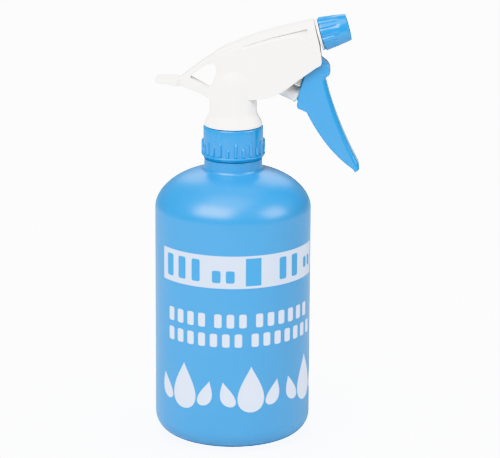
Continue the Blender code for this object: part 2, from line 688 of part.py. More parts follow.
def make_shroud(mats):
    """Outer cover: roof, side walls and tail, with the stem's sleeve and its flared skirt."""
    flanks = mirrored([SHROUD_HALF_WIDTH, SPINE_HALF_WIDTH])
    shroud = lofted("shroud", flanks, shell_outline, mats["head_white"])
    tail_stations = mirrored([TAIL_HALF_WIDTH, 7.3, 6.6, 5.4, 3.0])
    tail = lofted("shroud_tail", tail_stations, tail_outline)
    strap = bezier((-31.5, 180.9), (-24.0, 179.3), (-16.5, 176.0), (-11.6, 173.0), 6)
    arms_outline = [(0.0, 173.0), (0.0, 199.0)] + roof_line()[6::-1] + strap
    arms = extruded("shroud_arms", arms_outline, SPINE_HALF_WIDTH)
    sleeve_profile = [(0, SKIRT_BOTTOM_Z), (14.7, SKIRT_BOTTOM_Z), (14.7, 160.5), (14.1, 162.0)]
    sleeve_profile += [(13.4, 163.3), (12.6, 164.7), (12.1, 166.0)]
    sleeve_profile += arc((0, SLEEVE_DOME_Z), (SLEEVE_R, SLEEVE_R), 0, 90, 7)
    sleeve = turned("shroud_sleeve", sleeve_profile, sides=40)
    join(shroud, tail, arms, sleeve)
    window = [(-21.2, 183.7), (-21.2, 184.6), (-14.3, 189.9), (-10.0, 191.2), (-8.5, 188.9)]
    window += [(-8.8, 184.5), (-11.2, 178.7), (-11.9, 178.6)]
    bore = [(0, 150), (0, 177.5), (SLEEVE_BORE_R - 0.8, 177.5), (SLEEVE_BORE_R, 176.5)]
    bore += [(SLEEVE_BORE_R, 165.2), (13.4, 160.4), (13.4, 150)]
    cavity_stations = mirrored([SHROUD_HALF_WIDTH - SHROUD_WALL, SPINE_HALF_WIDTH])
    cut(
        shroud,
        extruded("shroud_window", window, TAIL_HALF_WIDTH + 3),
        lofted("shroud_cavity", cavity_stations, cavity_outline),
        turned("sleeve_bore", bore, sides=40),
        rod("barrel_hole", 5.3, nozzle_point(-9), nozzle_point(4), 28),
    )


# ---------------------------------------------------------------- build

def clear_scene():
    for obj in list(bpy.data.objects):
        bpy.data.objects.remove(obj, do_unlink=True)


def build():
    clear_scene()
    mats = make_materials()
    make_bottle(mats)
    make_collar(mats)
    make_gasket(mats)
    make_tube_retainer(mats)
    make_dip_tube(mats)
    make_ball(mats)
    make_pump_body(mats)
    make_piston(mats)
    make_piston_ring("vent_seal", mats, 17.7)
    make_piston_ring("pressure_seal", mats, 20.7)
    make_return_spring(mats)
    make_trigger(mats)
    make_discharge_barrel(mats)
    make_outlet_valve(mats)
    make_outlet_spring(mats)
    make_swirl_plug(mats)
    make_nozzle_cap(mats)
    make_nozzle_seal(mats)
    make_shroud(mats)


build()
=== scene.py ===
"""Looks of the trigger spray bottle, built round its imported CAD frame.

Lengths of the object are millimetres in the frame's own axes (+Z up, nozzle towards +X), and the
helpers convert them to metres. The camera, lights, stage and material nodes are in metres, apart from
the camera's lens and sensor. Angles in named values are degrees unless a name says otherwise.
"""

import json
from math import cos, pi, radians, sin, tan

import bmesh
import bpy
import numpy as np
from mathutils import Matrix, Quaternion, Vector


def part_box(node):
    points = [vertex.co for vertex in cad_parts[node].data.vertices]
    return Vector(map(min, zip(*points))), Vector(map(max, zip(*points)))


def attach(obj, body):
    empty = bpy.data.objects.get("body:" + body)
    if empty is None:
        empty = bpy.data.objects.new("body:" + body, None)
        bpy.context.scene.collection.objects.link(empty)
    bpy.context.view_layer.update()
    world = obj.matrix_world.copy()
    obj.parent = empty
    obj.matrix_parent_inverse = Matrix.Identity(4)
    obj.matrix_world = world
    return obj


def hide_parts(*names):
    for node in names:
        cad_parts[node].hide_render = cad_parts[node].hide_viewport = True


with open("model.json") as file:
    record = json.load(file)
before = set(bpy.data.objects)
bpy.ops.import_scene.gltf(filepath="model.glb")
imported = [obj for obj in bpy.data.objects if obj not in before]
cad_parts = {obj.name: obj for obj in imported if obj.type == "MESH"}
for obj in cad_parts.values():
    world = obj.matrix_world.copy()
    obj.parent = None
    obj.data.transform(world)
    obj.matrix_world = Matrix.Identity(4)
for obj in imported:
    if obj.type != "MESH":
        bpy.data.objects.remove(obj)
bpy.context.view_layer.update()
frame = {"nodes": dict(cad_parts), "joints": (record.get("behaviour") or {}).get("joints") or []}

MM = 0.001
FULL_TURN = 2 * pi
JOINTS = {joint["name"]: joint for joint in frame["joints"]}


def box_mm(node):
    """Lowest and highest corner of a CAD node, in millimetres."""
    low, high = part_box(node)
    return low / MM, high / MM


# Places and sizes that the frame gives
BOTTLE_HIGH = box_mm("bottle")[1]
COLLAR_LOW, COLLAR_HIGH = box_mm("closure_collar")
SHROUD_LOW, SHROUD_HIGH = box_mm("shroud")
TRIGGER_LOW, TRIGGER_HIGH = box_mm("trigger")
BOTTLE_R = BOTTLE_HIGH.x
NECK_TOP_Z = BOTTLE_HIGH.z
COLLAR_RIB_R = COLLAR_HIGH.x
PIVOT_X, _, PIVOT_Z = Vector(JOINTS["trigger_squeeze"]["pos_m"]) / MM
NOZZLE_ORIGIN = Vector(JOINTS["nozzle_turn"]["pos_m"]) / MM
NOZZLE_AXIS = Vector(JOINTS["nozzle_turn"]["axis"])
PUMP_AXIS = -Vector(JOINTS["piston_stroke"]["axis"])

# Bottle
INK = 0.02  # height of each layer of print over the plastic
WALL_R = BOTTLE_R - 2 * INK
BASE_CORNER_R = 10.0
BODY_TOP_Z = 117.6
SHOULDER_RISE = 19.4
SHOULDER_CENTRE_R = 10.9
SHOULDER_POWER = 1.82  # 2 would be an ellipse; less is flatter
NECK_R = 14.65
NECK_STEP_Z = 143.0
NECK_BORE_R = 11.0
BOTTLE_WALL = 1.2
THREAD_ROOT_R = 12.7
THREAD_DEPTH = 1.0
THREAD_PITCH = 4.233
THREAD_TURNS = 1.25
THREAD_START_Z = 146.6
RIDGE_FOOT_HALF, RIDGE_CREST_HALF = 1.1, 0.45  # half heights of both threads' ridges

# Print: a band, two rows of blocks and three groups of drops, by height up the bottle
BAND_LOW, BAND_HIGH = 85.55, 102.1
BLOCK_LOW, BLOCK_HIGH = 88.3, 99.7
DROP_MIDDLES = (-25.8, 9.7, 45.6)
SIDE_DROP_OFFSET = 10.5
SIDE_DROP_LEAN = 0.30

# Closure collar
COLLAR_R = 15.1
COLLAR_BORE_R = 14.1
RIB_COUNT = 24
RIB_START_DEG = 7.0

# Head
SIDE_HALF = 9.3
SPINE_HALF = 4.2  # flat middle of the roof, and the arms beside the window
SHOULDER_DROP = 1.9
CREASE = 0.35  # step between the roof's spine and its shoulders
TAIL_HALF = 7.5
TAIL_CORNER_R = 4.5
TAIL_CORNER_X = -34.6
HEAD_WALL = 1.3
SLEEVE_R = 12.0
SLEEVE_DOME_Z = 180.6

# Trigger
TRIGGER_HALF = 6.3
TRIGGER_WALL = 1.4
PUSH_BAR = (34.28, 174.27)  # x, z of the bar that meets the piston
PUSH_BAR_R, PUSH_BAR_HALF = 1.6, 5.6
SOCKET_R, SOCKET_HALF = 1.5, 5.9

# Nozzle cap and piston
CAP_LENGTH = 13.7
CAP_BASE_R = 8.6
CAP_TAPER = 1.8
FLUTES = 14
FLUTE_DEPTH = 0.42
FLUTE_END = 9.4
PISTON_END = Vector((32.54, 0, 175.04))

# Directions of the print and the camera
CAMERA_AZIMUTH = 2.0
CAMERA_ELEVATION = 15.56
CAMERA_ROLL = 0.3
CAMERA_DISTANCE_M = 1.4675
CAMERA_ASIDE_M = 0.00859
CAMERA_HEIGHT_M = 0.10537
SENSOR_WIDTH = 36.0
LENS = 209.736
FRONT_ANGLE = radians(-90.0 + CAMERA_AZIMUTH)  # the bottle's side that faces the camera


# Softboxes: name, azimuth, elevation, distance (m), size (m), power (W)
SOFTBOXES = (
    ("key_left", -32, 44.0, 1.2, (1.0, 0.65), 16.5),
    ("key_right", 70, 29, 1.2, (0.65, 0.6), 6.6),
    ("top", -10, 74, 1.5, (1.2, 1.0), 7),
    ("back", 180, 35, 1.6, (1.4, 0.8), 7),
)
SKY_STRENGTH = 0.26
BACKDROP_GLOW = 2.0  # seen by the camera only, so it doesn't light the object


# ---------------------------------------------------------------- outlines

def arc(centre, radii, start_deg, end_deg, count):
    """Points of an arc or of part of an ellipse."""
    turn = np.radians(np.linspace(start_deg, end_deg, count + 1))
    return [(centre[0] + radii[0] * cos(a), centre[1] + radii[1] * sin(a)) for a in turn]


def bezier(start, handle_a, handle_b, end, count):
    """Points of a cubic Bezier curve."""
    points = []
    for t in np.linspace(0.0, 1.0, count + 1):
        weights = ((1 - t) ** 3, 3 * t * (1 - t) ** 2, 3 * t * t * (1 - t), t ** 3)
        corners = (start, handle_a, handle_b, end)
        points.append(tuple(sum(w * c[k] for w, c in zip(weights, corners)) for k in (0, 1)))
    return points


def rounded(corners, steps=4):
    """A closed outline whose (x, z, radius) corners are softened; a radius of 0 stays sharp."""
    outline = []
    for i, (x, z, radius) in enumerate(corners):
        here = Vector((x, z))
        to_last = Vector(corners[i - 1][:2]) - here
        to_next = Vector(corners[(i + 1) % len(corners)][:2]) - here
        if radius == 0:
            outline.append((x, z))
            continue
        reach = radius / tan(to_last.angle(to_next) / 2)
        reach = min(reach, 0.48 * to_last.length, 0.48 * to_next.length)
        last, following = to_last.normalized() * reach, to_next.normalized() * reach
        for t in np.linspace(0.0, 1.0, steps + 1):
            outline.append(tuple(here + last * (1 - t) ** 2 + following * t ** 2))
    return outline


def sharp(points):
    """Plain points as corners without a radius."""
    return [(x, z, 0) for x, z in points]


# ---------------------------------------------------------------- meshes

def finish_mesh(name, bm, mat, smooth_deg=40.0):
    """Turn a bmesh into a smooth-shaded piece."""
    bmesh.ops.recalc_face_normals(bm, faces=bm.faces)
    mesh = bpy.data.meshes.new(name)
    bm.to_mesh(mesh)
    bm.free()
    mesh.shade_smooth()
    if smooth_deg:
        mesh.set_sharp_from_angle(angle=radians(smooth_deg))
    mesh.materials.append(mat)
    piece = bpy.data.objects.new(name, mesh)
    bpy.context.collection.objects.link(piece)
    return piece


def lathe(name, outline, sides, mat, shape=None):
    """Turn a closed (radius, height) outline round Z. shape(angle, radius, height) may reshape it."""
    count = len(outline)
    points = np.array(outline, float)
    angle = np.repeat(np.arange(sides) * FULL_TURN / sides, count)
    radius = np.tile(points[:, 0], sides)
    height = np.tile(points[:, 1], sides)
    if shape:
        radius, height = shape(angle, radius, height)
    places = np.stack([radius * np.cos(angle), radius * np.sin(angle), height], 1) * MM
    bm = bmesh.new()
    verts = [bm.verts.new(p) for p in places]
    for i in range(sides):
        j = (i + 1) % sides
        for k in range(count):
            m = (k + 1) % count
            if points[k, 0] == 0 and points[m, 0] == 0:
                continue
            bm.faces.new((verts[i * count + k], verts[j * count + k],
                          verts[j * count + m], verts[i * count + m]))
    bmesh.ops.remove_doubles(bm, verts=bm.verts, dist=1e-7)
    return finish_mesh(name, bm, mat)


def aim(piece, origin_mm, axis):
    """Stand a piece's Z axis along a direction, from a point."""
    turn = axis.to_track_quat("Z", "Y").to_matrix().to_4x4()
    piece.data.transform(Matrix.Translation(Vector(origin_mm) * MM) @ turn)
    return piece


def place(piece, body, slot, *replaced):
    """Say which body a piece rides on, and hide the CAD nodes it stands for. The slot argument is not
    used.
    """
    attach(piece, body)
    if replaced:
        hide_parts(*replaced)
    return piece


# ---------------------------------------------------------------- distance fields

class Grid:
    """A block of sample points; x, y and z broadcast against each other."""

    def __init__(self, low, high, step):
        counts = [int(np.ceil((b - a) / step)) + 1 for a, b in zip(low, high)]
        self.low = np.array(low, np.float32)
        self.step = step
        lines = [np.float32(a) + step * np.arange(n, dtype=np.float32) for a, n in zip(low, counts)]
        self.x = lines[0][:, None, None]
        self.y = lines[1][None, :, None]
        self.z = lines[2][None, None, :]
        self.shape = tuple(counts)

    def around(self, origin, axis):
        """Distance along an axis of the middle plane and radius round it, at every point."""
        dx, dz = self.x - origin[0], self.z - origin[2]
        along = dx * axis.x + dz * axis.z
        off = dx * axis.z - dz * axis.x
        return along, np.sqrt(off * off + self.y * self.y)


def side_distance(grid, outline):
    """Signed distance from an outline in the side view, negative inside."""
    x, z = grid.x, grid.z
    nearest = np.full((x.shape[0], 1, z.shape[2]), 1e9, np.float32)
    inside = np.zeros(nearest.shape, bool)
    for (x0, z0), (x1, z1) in zip(outline, outline[1:] + outline[:1]):
        edge_x, edge_z = x1 - x0, z1 - z0
        length_sq = max(edge_x ** 2 + edge_z ** 2, 1e-9)
        t = np.clip(((x - x0) * edge_x + (z - z0) * edge_z) / length_sq, 0, 1)
        nearest = np.minimum(nearest, (x - x0 - t * edge_x) ** 2 + (z - z0 - t * edge_z) ** 2)
        if z0 != z1:
            inside ^= ((z0 > z) != (z1 > z)) & (x < edge_x * (z - z0) / edge_z + x0)
    return np.where(inside, -1, 1) * np.sqrt(nearest)


def both(a, b, radius):
    """Where both shapes are, with the edge between them rounded."""
    outside = np.hypot(np.maximum(a + radius, 0), np.maximum(b + radius, 0))
    return np.minimum(np.maximum(a, b), -radius) + outside


def either(a, b, radius):
    """Where either shape is, with a fillet between them."""
    return -both(-a, -b, radius)


def without(a, b, radius):
    """The first shape less the second, with the new edge rounded."""
    return both(a, -b, radius)


def cylinder(along, radius_here, radius, start, end):
    """Distance from a round bar."""
    return np.maximum(radius_here - radius, np.maximum(start - along, along - end))


def surface(name, grid, field, mat):
    """Surface nets: a point in each cell that the surface crosses, a quad round each crossed edge."""
    field = np.broadcast_to(field, grid.shape)
    inside = field < 0
    cell_shape = np.array(grid.shape) - 1
    cell_ids, weights, quads = [], [], []
    for axis in range(3):
        lower = [slice(None)] * 3
        upper = [slice(None)] * 3
        lower[axis], upper[axis] = slice(None, -1), slice(1, None)
        near, far = field[tuple(lower)], field[tuple(upper)]
        start = np.argwhere(inside[tuple(lower)] != inside[tuple(upper)])
        pick = tuple(start.T)
        share = near[pick] / (near[pick] - far[pick])
        crossing = start.astype(np.float64)
        crossing[:, axis] += share
        u, v = (axis + 1) % 3, (axis + 2) % 3
        corner_ids = []
        for du, dv in ((1, 1), (0, 1), (0, 0), (1, 0)):
            cell = start.copy()
            cell[:, u] -= du
            cell[:, v] -= dv
            corner_ids.append(np.ravel_multi_index(tuple(cell.T), cell_shape))
            cell_ids.append(corner_ids[-1])
            weights.append(crossing)
        quad = np.stack(corner_ids, 1)
        leaving = near[pick] < 0
        quad[~leaving] = quad[~leaving][:, ::-1]
        quads.append(quad)
    ids, inverse = np.unique(np.concatenate(cell_ids), return_inverse=True)
    crossings = np.concatenate(weights)
    share_count = np.bincount(inverse)
    middle = np.stack([np.bincount(inverse, crossings[:, k]) / share_count for k in range(3)], 1)
    places = (grid.low + grid.step * middle) * MM
    faces = np.searchsorted(ids, np.concatenate(quads))
    mesh = bpy.data.meshes.new(name)
    mesh.from_pydata(places.tolist(), [], faces.tolist())
    mesh.validate()
    mesh.shade_smooth()
    mesh.materials.append(mat)
    piece = bpy.data.objects.new(name, mesh)
    bpy.context.collection.objects.link(piece)
    return piece


# ---------------------------------------------------------------- materials

def plastic(name, colour, roughness, **look):
    """Moulded plastic: slight colour drift, uneven gloss, fine grain, paler worn edges."""
    mat = bpy.data.materials.new(name)
    mat.use_nodes = True
    nodes, links = mat.node_tree.nodes, mat.node_tree.links
    shader = nodes["Principled BSDF"]
    where = nodes.new("ShaderNodeTexCoord").outputs["Object"]

    def noise(scale, detail=3.0):
        node = nodes.new("ShaderNodeTexNoise")
        node.inputs["Scale"].default_value = scale
        node.inputs["Detail"].default_value = detail
        links.new(where, node.inputs["Vector"])
        return node.outputs["Fac"]

    def spread(value, low, high):
        node = nodes.new("ShaderNodeMapRange")
        node.inputs["From Min"].default_value = 0.3
        node.inputs["From Max"].default_value = 0.7
        node.inputs["To Min"].default_value = low
        node.inputs["To Max"].default_value = high
        links.new(value, node.inputs["Value"])
        return node.outputs["Result"]

    drift = look.get("drift", 0.04)
    mix = nodes.new("ShaderNodeMix")
    mix.data_type = "RGBA"
    mix.inputs["A"].default_value = (*[c * (1 - drift) for c in colour], 1)
    mix.inputs["B"].default_value = (*[min(c * (1 + drift), 1) for c in colour], 1)
    links.new(spread(noise(45.0), 0.0, 1.0), mix.inputs["Factor"])
    edge = nodes.new("ShaderNodeNewGeometry").outputs["Pointiness"]
    worn = nodes.new("ShaderNodeMapRange")
    worn.inputs["From Min"].default_value = 0.52
    worn.inputs["From Max"].default_value = 0.62
    worn.inputs["To Max"].default_value = look.get("wear", 0.25)
    links.new(edge, worn.inputs["Value"])
    paler = nodes.new("ShaderNodeMix")
    paler.data_type = "RGBA"
    paler.inputs["B"].default_value = (*[c + (1 - c) * 0.35 for c in colour], 1)
    links.new(worn.outputs["Result"], paler.inputs["Factor"])
    links.new(mix.outputs["Result"], paler.inputs["A"])
    links.new(paler.outputs["Result"], shader.inputs["Base Color"])

    uneven = look.get("uneven", 0.05)
    links.new(spread(noise(220.0), roughness - uneven, roughness + uneven), shader.inputs["Roughness"])
    bump = nodes.new("ShaderNodeBump")
    bump.inputs["Strength"].default_value = look.get("grain", 0.12)
    bump.inputs["Distance"].default_value = 0.00004
    links.new(noise(look.get("grain_scale", 1600.0), 2.0), bump.inputs["Height"])
    links.new(bump.outputs["Normal"], shader.inputs["Normal"])
    shader.inputs["IOR"].default_value = 1.5
    shader.inputs["Specular IOR Level"].default_value = look.get("shine", 0.5)
    shader.inputs["Subsurface Weight"].default_value = look.get("depth", 0.0)
    shader.inputs["Subsurface Radius"].default_value = (0.003, 0.003, 0.003)
    return mat


def steel(name):
    """Drawn stainless wire: bright metal with fine uneven polish."""
    mat = plastic(name, (0.62, 0.61, 0.58), 0.26, drift=0.08, grain=0.25, grain_scale=2500.0, wear=0.0)
    mat.node_tree.nodes["Principled BSDF"].inputs["Metallic"].default_value = 1.0
    return mat


MATS = {
    "bottle": plastic("bottle_plastic", (0.052, 0.300, 0.585), 0.32, drift=0.008, wear=0.0, depth=0.05,
                      grain=0.01, grain_scale=700.0, uneven=0.004, shine=0.9),
    "trim": plastic("trim_plastic", (0.032, 0.292, 0.605), 0.17, drift=0.01, wear=0.2,
                    grain=0.01, uneven=0.005, shine=1.0),
    "white": plastic("head_plastic", (0.81, 0.798, 0.785), 0.36, drift=0.01, depth=0.1, wear=0.1,
                     grain=0.05, uneven=0.03),
    "natural": plastic("natural_plastic", (0.80, 0.80, 0.77), 0.45, drift=0.03, depth=0.2, wear=0.1),
    "seal": plastic("seal_rubber", (0.11, 0.11, 0.115), 0.62, drift=0.1, grain=0.3, wear=0.1),
    "steel": steel("wire_steel"),
    "ink_white": plastic("ink_white", (0.60, 0.66, 0.76), 0.5, drift=0.02, grain=0.1, wear=0.0),
    "ink_bright": plastic("ink_bright", (0.66, 0.71, 0.80), 0.5, drift=0.02, grain=0.1, wear=0.0),
    "ink_blue": plastic("ink_blue", (0.07, 0.33, 0.62), 0.5, drift=0.02, grain=0.1, wear=0.0),
}


# ---------------------------------------------------------------- bottle

def thread_height(angle, height, start, turns):
    """Height of a helical ridge over its wall, from 0 to 1, with faded ends."""
    best = np.zeros_like(angle)
    for lap in range(int(turns) + 1):
        turned = angle / FULL_TURN + lap
        off = np.abs(height - start - THREAD_PITCH * turned)
        ridge = np.clip((RIDGE_FOOT_HALF - off) / (RIDGE_FOOT_HALF - RIDGE_CREST_HALF), 0, 1)
        fade = np.clip(turned * 14, 0, 1) * np.clip((turns - turned) * 14, 0, 1)
        best = np.maximum(best, ridge * fade)
    return best


def shoulder(inset, count):
    """(radius, height, 0) corners up the shoulder, from the body's wall to the foot of the neck."""
    angle = np.radians(np.linspace(0.0, 73.0, count + 1))
    run, rise = WALL_R - SHOULDER_CENTRE_R - inset, SHOULDER_RISE - inset
    radius = SHOULDER_CENTRE_R + run * np.cos(angle) ** (2 / SHOULDER_POWER)
    height = BODY_TOP_Z + rise * np.sin(angle) ** (2 / SHOULDER_POWER)
    return [(r, z, 0) for r, z in zip(radius, height)]


def make_bottle():
    """Blow-moulded bottle: footed base, soft corner and shoulder, neck with its thread."""
    ring_r = BOTTLE_R - BASE_CORNER_R
    groove = 1.2
    outer = [(0, 0, 0), (24.0, 0, 0.6), (25.2, groove, 0.5), (27.0, groove, 0.5), (28.2, 0, 0.5)]
    corner_r = BASE_CORNER_R - 2 * INK
    outer += sharp(arc((ring_r, BASE_CORNER_R), (corner_r, BASE_CORNER_R), -90, 0, 14))
    outer += shoulder(0.0, 30)
    outer += [(NECK_R, 136.9, 2.8), (NECK_R, NECK_STEP_Z, 0.5)]
    outer += [(THREAD_ROOT_R, NECK_STEP_Z, 0.3)]
    outer += [(THREAD_ROOT_R, z, 0) for z in np.arange(NECK_STEP_Z + 1.5, NECK_TOP_Z - 1.0, 0.25)]
    outer += [(THREAD_ROOT_R, NECK_TOP_Z, 0.5), (NECK_BORE_R, NECK_TOP_Z, 0.5)]
    inner_r = NECK_R - BOTTLE_WALL
    outer += [(NECK_BORE_R, NECK_STEP_Z - 1.5, 1.0), (inner_r, NECK_STEP_Z - 4.0, 1.0)]
    outer += [(inner_r, 135.8, 2.0)]
    outer += shoulder(BOTTLE_WALL, 20)[::-1]
    floor_z = groove + BOTTLE_WALL
    inner_corner = BASE_CORNER_R - BOTTLE_WALL - 2 * INK
    outer += sharp(arc((ring_r, floor_z + inner_corner), (inner_corner, inner_corner), 0, -90, 8))
    outer += [(0, floor_z, 0)]

    def threaded(angle, radius, height):
        on_root = (np.abs(radius - THREAD_ROOT_R) < 0.01) & (height > NECK_STEP_Z + 1)
        ridge = thread_height(angle, height, THREAD_START_Z, THREAD_TURNS)
        return radius + np.where(on_root, THREAD_DEPTH * ridge, 0), height

    shell = lathe("bottle_shell", rounded(outer), 180, MATS["bottle"], threaded)
    place(shell, "bottle", "bottle_blue", "bottle")


# ---------------------------------------------------------------- print on the bottle

def wrap(name, outlines, layer, mat):
    """Flat outlines in (arc length, height), wrapped round the bottle as a thin layer of ink."""
    bm = bmesh.new()
    for outline in outlines:
        bm.faces.new([bm.verts.new((s, 0.0, z)) for s, z in outline])
    reach = pi * BOTTLE_R
    for cut in np.arange(-reach, reach, 2.0):
        geom = bm.verts[:] + bm.edges[:] + bm.faces[:]
        bmesh.ops.bisect_plane(bm, geom=geom, plane_co=(cut, 0, 0), plane_no=(1, 0, 0), dist=1e-5)
    bmesh.ops.triangulate(bm, faces=bm.faces)
    made = bmesh.ops.extrude_face_region(bm, geom=bm.faces[:])["geom"]
    raised = {g for g in made if isinstance(g, bmesh.types.BMVert)}
    for vert in bm.verts:
        radius = WALL_R + layer * INK if vert in raised else WALL_R - INK
        angle = FRONT_ANGLE + vert.co.x / BOTTLE_R
        vert.co = Vector((radius * cos(angle), radius * sin(angle), vert.co.z)) * MM
    piece = finish_mesh(name, bm, mat, 30.0)
    place(piece, "bottle", "head_white")


def bar(left, right, low, high, radius=0.6):
    """A rounded bar between two places on the bottle."""
    corners = [(left, low, radius), (right, low, radius), (right, high, radius), (left, high, radius)]
    return rounded(corners, 4)


def drop(middle, low, height, lean=0.0):
    """A plain drop of liquid, standing on its round end."""
    outline = []
    for t in np.linspace(0, 1, 41)[:-1]:
        across = sin(FULL_TURN * t) * sin(pi * t) ** 1.4 * 0.40 * height
        up = (1 + cos(FULL_TURN * t)) / 2 * height
        outline.append((middle + across + lean * up, low + up))
    return outline


def block_row(start, low, high, groups, width=3.7, gap=2.55, space=4.8):
    """A row of equal blocks in groups: it takes the place of words and spells nothing."""
    blocks = []
    for count in groups:
        for _ in range(count):
            blocks.append(bar(start, start + width, low, high, 1.1))
            start += width + gap
        start += space - gap
    return blocks


def make_print():
    """Generic marks: a pale band with blue blocks, two rows of white blocks, and drop motifs."""
    wrap("print_band", [bar(-41.2, 54.1, BAND_LOW, BAND_HIGH, 0.2)], 1, MATS["ink_white"])
    blocks = [bar(6.7, 14.7, BAND_LOW + 1.2, BAND_HIGH - 1.2, 0.2)]
    blocks += block_row(-37.6, BLOCK_LOW, BLOCK_HIGH, (3,), 4.6, 3.6)
    blocks += block_row(-10.2, BLOCK_LOW, 94.6, (2,), 4.4, 2.6)
    blocks += block_row(25.0, BLOCK_LOW, BLOCK_HIGH, (2,), 4.4, 3.8)
    blocks += block_row(43.6, 90.5, 96.0, (2,), 3.0, 1.8)
    wrap("print_blocks", blocks, 2, MATS["ink_blue"])
    rows = block_row(-36.2, 65.2, 72.2, (4, 3, 6)) + block_row(-36.2, 55.2, 62.0, (7, 7))
    wrap("print_rows", rows, 1, MATS["ink_bright"])
    drops = []
    for middle in DROP_MIDDLES:
        drops.append(drop(middle, 21.0, 24.0))
        for side in (-1, 1):
            drops.append(drop(middle + side * SIDE_DROP_OFFSET, 24.0, 13.0, side * SIDE_DROP_LEAN))
    wrap("print_drops", drops, 1, MATS["ink_bright"])


# ---------------------------------------------------------------- collar

def make_collar():
    """Screw closure: tall and short ribs by turns over a rounded lower lip, thread inside."""
    bottom, top, lip, short, tall = COLLAR_LOW.z, COLLAR_HIGH.z, 146.0, 150.2, 152.7
    corners = [(COLLAR_BORE_R, bottom, 0.2), (COLLAR_R - 0.1, bottom, 0.5)]
    corners += [(COLLAR_RIB_R, bottom + 1.5, 0.5), (COLLAR_RIB_R, lip - 0.5, 0.4), (COLLAR_R, lip, 0.3)]
    corners += [(COLLAR_R, z, 0) for z in np.arange(lip + 0.5, tall + 0.8, 0.2)]
    corners += [(COLLAR_R, top, 0.9), (11.0, top, 0.2), (11.0, top - 1.4, 0.2)]
    corners += [(COLLAR_BORE_R, top - 1.4, 0.2)]
    corners += [(COLLAR_BORE_R, z, 0) for z in np.arange(151.5, bottom + 0.5, -0.25)]
    rib_half, rib_height = 0.70, COLLAR_RIB_R - COLLAR_R

    def ribbed(angle, radius, height):
        pitch = FULL_TURN / RIB_COUNT
        phase = (angle - radians(RIB_START_DEG)) / pitch
        nearest = np.round(phase)
        across = np.abs(phase - nearest) * pitch * COLLAR_R
        is_tall = np.mod(nearest, 2) == 0
        top_here = np.where(is_tall, tall, short)
        section = np.sqrt(np.clip(1 - (across / rib_half) ** 2, 0, 1))
        end = np.sqrt(np.clip((top_here + 0.1 - height) / 1.0, 0, 1))
        on_wall = (np.abs(radius - COLLAR_R) < 0.01) & (height > lip) & (height < top - 1.5)
        out = radius + np.where(on_wall, rib_height * section * end, 0)
        on_bore = np.abs(radius - COLLAR_BORE_R) < 0.01
        ridge = thread_height(angle, height, THREAD_START_Z - THREAD_PITCH / 2, 1.0)
        return out - np.where(on_bore, 1.05 * ridge, 0), height

    ring = lathe("collar_ring", rounded(corners), RIB_COUNT * 18, MATS["trim"], ribbed)
    place(ring, "collar", "trim_blue", "closure_collar")


# ---------------------------------------------------------------- head cover

ROOF = bezier((-25.5, 184.2), (-4.2, 202.0), (10.6, 207.0), (38.2, 213.2), 40)


def roof_z(x, drop=0.0):
    """Height of the roof's spine at x."""
    return np.interp(x, [p[0] for p in ROOF], [p[1] for p in ROOF]) - drop


def soft_step(distance):
    """From 0 to 1 over a short distance about zero."""
    return np.clip(distance / 0.3 + 0.5, 0, 1)


def side_pocket(grid, lift=0.0):
    """Depth of the tapering hollow under the roof's flange, at each (x, z)."""
    x, z = grid.x, grid.z
    upper = np.interp(x, [6.2, 19.7, 36.3], [201.4, 205.7, 210.1]) + lift
    ridge = np.interp(x, [5.0, 18.5, 25.9, 30.8, 38.8], [199.65, 203.8, 205.6, 206.25, 201.65])
    depth = np.interp(x, [3.8, 5.2, 38.0], [0.0, 1.0, 1.8])
    rise = np.clip((z - ridge) / (upper - ridge + 1e-3), 0, 1)
    under_flange = soft_step(upper - z)
    frame_x = 38.8 - (z - 200.7) * 2.2 / 9.1
    before_frame = soft_step(frame_x - x)
    return depth * rise * under_flange * before_frame


def cover_shell(grid):
    """Main body of the cover: spine, sloping shoulders, flat sides and a rounded rear."""
    x, y, z = grid.x, np.abs(grid.y), grid.z
    front = [(38.8, 213.2), (39.9, 212.3), (42.3, 203.0), (43.6, 196.0), (43.8, 193.4)]
    front += [(43.4, 191.8), (41.5, 190.9)]
    lower = [(32.8, 184.6), (29.2, 181.7)]
    lower += bezier((27.5, 180.4), (22.2, 176.2), (16.7, 174.1), (11.5, 174.0), 12)
    outline = [p for p in ROOF if p[0] > -10] + front + lower
    outline += [(-4.0, 174.0), (-9.3, 178.0), (-9.5, 184.0)]
    share = np.clip((y - SPINE_HALF) / (SIDE_HALF - SPINE_HALF), 0, 1)
    crease = CREASE * soft_step(y - SPINE_HALF)
    slope = (z - roof_z(x) + crease + (SHOULDER_DROP - CREASE) * share) * 0.93
    rear = 3.5 * share ** 2 - 9.0 - x
    shell = both(side_distance(grid, outline), np.maximum(slope, rear), 0.3)
    return both(shell, y - (SIDE_HALF - side_pocket(grid)), 0.45)


def cover_tail(grid):
    """Narrow arms round the window and the wider finger rest behind them."""
    x, y = grid.x, np.abs(grid.y)
    strap = [(-31.7, 180.5), (-26.1, 179.5), (-21.2, 177.6), (-15.6, 175.2), (-11.8, 173.0)]
    outline = [(0.0, 173.0), (0.0, 200.0)] + [p for p in ROOF if p[0] < -1][::-1]
    outline += [(-27.4, 183.4), (-38.4, 183.2), (-39.1, 182.6), (-38.9, 181.6), (-37.2, 181.0)]
    outline += [(-32.6, 180.9)] + strap
    half = np.interp(x, [-28.2, -26.4], [TAIL_HALF, SPINE_HALF])
    past_corner = np.maximum(TAIL_CORNER_X - x, 0)
    tip = np.hypot(past_corner, np.maximum(y - (TAIL_HALF - TAIL_CORNER_R), 0)) - TAIL_CORNER_R
    at_tip = x < TAIL_CORNER_X
    sides = np.maximum(y - half, tip * at_tip - 9 * ~at_tip)
    return both(side_distance(grid, outline), sides, 0.6)


